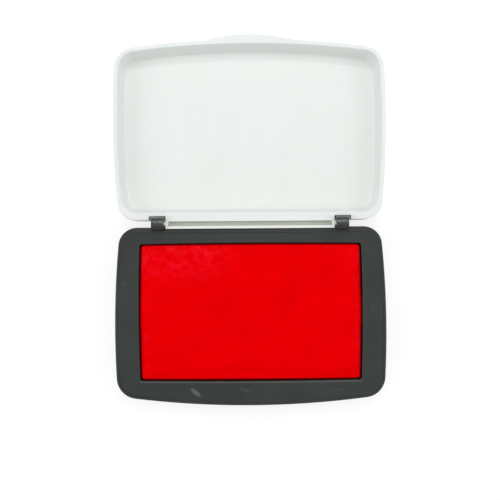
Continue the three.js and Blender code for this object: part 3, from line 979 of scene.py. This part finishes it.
class INKPAD_OT_pad_cloth(bpy.types.Operator):
    """Model the cloth cover: blown up like a cushion, then opened below and given its thickness"""

    bl_idname = "inkpad.pad_cloth"
    bl_label = "Cloth cover"
    bl_options = {"REGISTER", "UNDO"}

    def execute(self, context):
        cushion = settings("cushion")
        half = (PAD_HIGH - PAD_LOW) / 2
        middle = HINGE.y - (PAD_LOW.y + PAD_HIGH.y) / 2
        half_width = half.x + cushion.fullness
        half_depth = half.y + cushion.fullness
        # It starts a little lower than the finished pad, because blowing it up raises its top.
        height = PAD_HIGH.z - PAD_LOW.z - cushion.crown / 6
        piece = bowed_plate("cover", half_width, half_depth, cushion.corner, middle, PAD_LOW.z)
        raise_face(height - cushion.edge)
        round_over(cushion.edge, steps=4)
        face_outwards()
        clear_selection()
        apply_modifier(piece, "REMESH", mode="VOXEL", voxel_size=cushion.voxel)
        self.inflate(piece)
        apply_modifier(piece, "SMOOTH", factor=0.5, iterations=4)
        self.dimple(piece)
        self.open_below(piece)
        apply_modifier(piece, "SOLIDIFY", thickness=cushion.cover, offset=-1)
        apply_modifier(piece, "SUBSURF", levels=1, render_levels=1)
        settle(piece, TO_BASE, "base", ink_cloth("Inked cloth"), "pad_cloth", smooth=60)
        return {"FINISHED"}

    def inflate(self, piece):
        """A cloth simulation at ten times the size, where its stiffness suits the pad's span.

        Only the rise of each point is kept, up to the crown.
        """
        enlarge = 10
        pressure = 4
        frames = 20
        sewn = (PAD_LOW.z + 1.5 * MM) * enlarge
        most = settings("cushion").crown * enlarge
        scene = bpy.context.scene
        choose(piece)
        piece.scale = (enlarge,) * 3
        bpy.ops.object.transform_apply(location=True, rotation=True, scale=True)
        rest = [v.co.copy() for v in piece.data.vertices]
        held = piece.vertex_groups.new(name="held")
        held.add([v.index for v in piece.data.vertices if v.co.z < sewn], 1, "REPLACE")
        cloth = piece.modifiers.new("Cloth", "CLOTH")
        cloth.settings.vertex_group_mass = held.name
        cloth.settings.use_pressure = True
        cloth.settings.uniform_pressure_force = pressure
        cloth.settings.effector_weights.gravity = 0
        cloth.settings.quality = 5
        cloth.collision_settings.use_collision = False
        cloth.point_cache.frame_start = 1
        cloth.point_cache.frame_end = frames
        for step in range(frames):
            scene.frame_set(step + 1)
        bpy.ops.object.modifier_apply(modifier=cloth.name)
        scene.frame_set(1)
        for point, home in zip(piece.data.vertices, rest):
            rise = max(-most, min(most, point.co.z - home.z))
            point.co = home + Vector((0, 0, rise))
        piece.vertex_groups.clear()
        piece.scale = (1 / enlarge,) * 3
        bpy.ops.object.transform_apply(location=True, rotation=True, scale=True)

    def dimple(self, piece):
        """Gentle unevenness of a pad that has been pressed many times: broad waves and small ones."""
        waves = ((14 * MM, 0.09 * MM), (4 * MM, 0.035 * MM))
        top = PAD_HIGH.z - 2 * MM
        for point in piece.data.vertices:
            if point.co.z > top:
                point.co.z += sum(noise.noise(point.co / size) * depth for size, depth in waves)

    def open_below(self, piece):
        """Takes away the underside, where the cover is glued to the felt."""
        limit = PAD_LOW.z + 0.7 * MM
        choose(piece)
        bpy.ops.object.mode_set(mode="EDIT")
        pick("FACE", lambda f: f.calc_center_median().z < limit)
        bpy.ops.mesh.delete(type="FACE")
        clear_selection()


class INKPAD_OT_base_label(bpy.types.Operator):
    """Model the blank label in the recess of the underside"""

    bl_idname = "inkpad.base_label"
    bl_label = "Base label"
    bl_options = {"REGISTER", "UNDO"}

    def execute(self, context):
        case = settings("case")
        low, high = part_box("base_label")
        half_width, half_depth, centre = label_place()
        edge = (high.z - low.z) / 4
        piece = rounded_plate("label", half_width, half_depth, case.label_corner, centre, low.z + edge)
        raise_face(high.z - low.z - 2 * edge)
        round_over(edge, steps=2)
        pick_cap(-1, low.z + edge)
        round_over(edge, steps=2)
        settle(piece, TO_BASE, "base", label_film("Label film"), "base_label")
        return {"FINISHED"}


class INKPAD_OT_lid_shell(bpy.types.Operator):
    """Model the white lid with its fillets, thumb lip, hinge bar, stub pins and notches"""

    bl_idname = "inkpad.lid_shell"
    bl_label = "Lid shell"
    bl_options = {"REGISTER", "UNDO"}

    def execute(self, context):
        lid = settings("lid")
        hinge = settings("hinge")
        piece = footprint("lid", -lid.overhang, 0, lid.outer_edge, lid.longer)
        raise_face(RIM - lid.outer_edge - lid.rim_edge)
        round_over(lid.rim_edge)
        step_in(lid.wall - 2 * lid.rim_edge)
        slide_back_edge(RIM, lid.back_wall)
        roll_down(lid.rim_edge)
        step_in(lid.draft, lid.panel + lid.fillet + lid.rim_edge - RIM)
        round_over(lid.fillet, steps=8, way=-1)
        pick_cap(-1, lid.outer_edge)
        round_over(lid.outer_edge, steps=8)
        clear_selection()
        combine(piece, self.thumb_lip(), "UNION")
        for x0, x1 in both_ends(hinge.bar_end, hinge.notch_outer):
            notch = hinge_cylinder("notch", hinge.knuckle + hinge.swing, x0, x1, HOLLOW_STEPS)
            combine(piece, notch, "DIFFERENCE")
        combine(piece, self.bar(), "UNION")
        combine(piece, self.groove(), "DIFFERENCE")
        for side in (1, -1):
            combine(piece, self.pin(side), "UNION")
        settle(piece, TO_LID, "lid", lid_plastic("Lid plastic"), "lid_shell")
        return {"FINISHED"}

    def thumb_lip(self):
        """The ledge that a thumb lifts the lid by."""
        outline = settings("footprint")
        lid = settings("lid")
        tip = LID_HIGH.y - HINGE.y
        start = outline.hinge_reach + outline.depth + lid.overhang + lid.longer - lid.lip_embed
        sweep = 2 * math.asin(lid.lip_half_width / lid.lip_radius)
        shoulder = tip - lid.lip_radius * (1 - math.cos(sweep / 2))
        foot = RIM - lid.lip_thickness + lid.lip_edge
        piece = begin_outline("lip", (-lid.lip_half_width, start, foot))
        draw_line((2 * lid.lip_half_width, 0, 0))
        draw_line((0, shoulder - start, 0))
        draw_arc((0, tip - lid.lip_radius, foot), sweep, steps=32)
        close_outline((0, 0, 1))
        raise_face(lid.lip_thickness - 2 * lid.lip_edge)
        round_over(lid.lip_edge, steps=4)
        pick_cap(-1, foot)
        round_over(lid.lip_edge, steps=4)
        face_outwards()
        clear_selection()
        return piece

    def bar(self):
        """The hinge bar before its groove is cut: round below, with a lip along its front."""
        hinge = settings("hinge")
        rim = RIM - HINGE.z
        x0 = -hinge.bar_end
        piece = begin_outline("bar", (x0, -hinge.bar_radius, HINGE.z + hinge.bar_rise))
        draw_line((0, 0, -hinge.bar_rise))
        draw_arc((x0, 0, HINGE.z), QUARTER, steps=12, axis=(1, 0, 0))
        draw_line((0, hinge.bar_embed, 0))
        draw_line((0, 0, hinge.bar_radius + rim))
        draw_line((0, hinge.bar_web - hinge.bar_embed, 0))
        draw_line((0, 0, hinge.bar_rise - rim))
        close_outline((-1, 0, 0))
        bpy.ops.mesh.extrude_region_move(TRANSFORM_OT_translate={"value": (2 * hinge.bar_end, 0, 0)})
        face_outwards()
        clear_selection()
        soften(piece, hinge.bar_edge)
        return piece

    def groove(self):
        """The long groove along the bar."""
        hinge = settings("hinge")
        half_depth = (hinge.bar_web + hinge.groove_front) / 2
        middle = (hinge.bar_web - hinge.groove_front) / 2
        low = HINGE.z - hinge.groove_drop
        edge = hinge.bar_edge
        piece = rounded_plate("groove", hinge.groove_end, half_depth, edge, middle, low + edge, steps=4)
        raise_face(hinge.groove_drop + hinge.bar_rise + MM)
        pick_cap(-1, low + edge)
        round_over(edge, steps=3)
        face_outwards()
        clear_selection()
        return piece

    def pin(self, side):
        """A conical stub pin at one end of the bar."""
        hinge = settings("hinge")
        embed = MM / 2
        clear_selection()
        bpy.ops.mesh.primitive_cone_add(
            vertices=PIN_STEPS, radius1=hinge.pin_root, radius2=hinge.pin_tip, depth=hinge.pin_length + embed,
            location=(side * (hinge.bar_end + (hinge.pin_length - embed) / 2), 0, HINGE.z),
            rotation=(0, side * QUARTER, 0),
        )
        piece = bpy.context.object
        soften(piece, hinge.bar_edge, sharper_than=60)
        return piece


class INKPAD_OT_stage(bpy.types.Operator):
    """Set up the floor, the soft lights and the camera above the pad"""

    bl_idname = "inkpad.stage"
    bl_label = "Floor, lights and camera"
    bl_options = {"REGISTER", "UNDO"}

    def execute(self, context):
        self.camera(context.scene)
        self.floor()
        self.lights()
        self.world(context.scene)
        context.scene.view_settings.view_transform = "Standard"
        return {"FINISHED"}

    def camera(self, scene):
        """Straight above, about a foot away, and turned by a hair as a hand-held camera is."""
        distance = 0.29
        width_seen = 0.2016
        aside = -0.1 * MM
        before_hinge = 10.7 * MM
        turn = math.radians(-0.4)
        data = bpy.data.cameras.new("Camera")
        data.sensor_width = 36
        data.lens = data.sensor_width * distance / width_seen
        data.clip_start = 0.01
        data.dof.use_dof = False
        camera = bpy.data.objects.new("Camera", data)
        camera.location = (aside, HINGE.y - before_hinge, RIM + distance)
        camera.rotation_euler = (0, 0, turn)
        scene.collection.objects.link(camera)
        scene.camera = camera

    def floor(self):
        """A pale floor with a glow of its own, a hair below the base so that they never share a plane."""
        size = 12
        drop = 0.02 * MM
        grey = 0.3
        glow = 0.75
        clear_selection()
        bpy.ops.mesh.primitive_plane_add(size=size, location=(0, 0, -drop))
        floor = bpy.context.object
        floor.name = "floor"
        shader = Shader("Floor")
        matt = shader.node("ShaderNodeBsdfDiffuse", {}, {"Color": (grey, grey, grey, 1)})
        light = shader.node("ShaderNodeEmission", {}, {"Color": (1, 1, 1, 1), "Strength": glow})
        both = shader.node("ShaderNodeAddShader", {}, {0: matt, 1: light})
        shader.node("ShaderNodeOutputMaterial", {}, {"Surface": both})
        floor.data.materials.append(shader.material)

    def lights(self):
        """Soft lights that look at the hinge: the name, place, width, depth and power of each."""
        for name, place, width, depth, power in (
            ("Key", (0.0, 0.37, 0.84), 0.26, 0.26, 0.9),
            ("Back strip", (0.0, 0.55, 0.68), 0.36, 0.06, 0.75),
            ("Left fill", (-0.7, 0.05, 0.5), 0.5, 0.5, 1.5),
            ("Right fill", (0.7, 0.05, 0.5), 0.5, 0.5, 1.5),
        ):
            data = bpy.data.lights.new(name, "AREA")
            data.shape = "RECTANGLE"
            data.size = width
            data.size_y = depth
            data.energy = power
            light = bpy.data.objects.new(name, data)
            light.location = place
            light.rotation_euler = (HINGE - Vector(place)).to_track_quat("-Z", "Y").to_euler()
            bpy.context.scene.collection.objects.link(light)

    def world(self, scene):
        """Even light from all sides."""
        world = bpy.data.worlds.new("World")
        world.use_nodes = True
        cool_white = (0.985, 0.99, 1, 1)
        brightness = 0.59
        background = world.node_tree.nodes["Background"]
        background.inputs["Color"].default_value = cool_white
        background.inputs["Strength"].default_value = brightness
        scene.world = world


OPERATORS = (
    INKPAD_OT_stage,
    INKPAD_OT_base_case,
    INKPAD_OT_pad_frame,
    INKPAD_OT_ink_tray,
    INKPAD_OT_pad_layers,
    INKPAD_OT_pad_cloth,
    INKPAD_OT_base_label,
    INKPAD_OT_lid_shell,
)


class INKPAD_PT_build(bpy.types.Panel):
    """The steps of building the ink pad, and its sizes and colours"""

    bl_idname = "INKPAD_PT_build"
    bl_label = "Ink Pad"
    bl_space_type = "VIEW_3D"
    bl_region_type = "UI"
    bl_category = "Ink Pad"

    def draw(self, context):
        for step in OPERATORS:
            self.layout.operator(step.bl_idname)
        for key, group in GROUPS.items():
            box = self.layout.box()
            box.label(text=key.title())
            for name in group.__annotations__:
                box.prop(settings(key), name)


CLASSES = (*GROUPS.values(), *OPERATORS, INKPAD_PT_build)


def register():
    """Makes the classes and their settings known to Blender."""
    for item in CLASSES:
        bpy.utils.register_class(item)
    for key, group in GROUPS.items():
        setattr(bpy.types.Scene, f"{PREFIX}_{key}", PointerProperty(type=group))


def unregister():
    """Takes them away again, last first."""
    for key in GROUPS:
        delattr(bpy.types.Scene, f"{PREFIX}_{key}")
    for item in reversed(CLASSES):
        bpy.utils.unregister_class(item)


def main():
    """Builds everything step by step."""
    register()
    for step in OPERATORS:
        group, name = step.bl_idname.split(".")
        getattr(getattr(bpy.ops, group), name)()


if __name__ == "__main__":
    main()
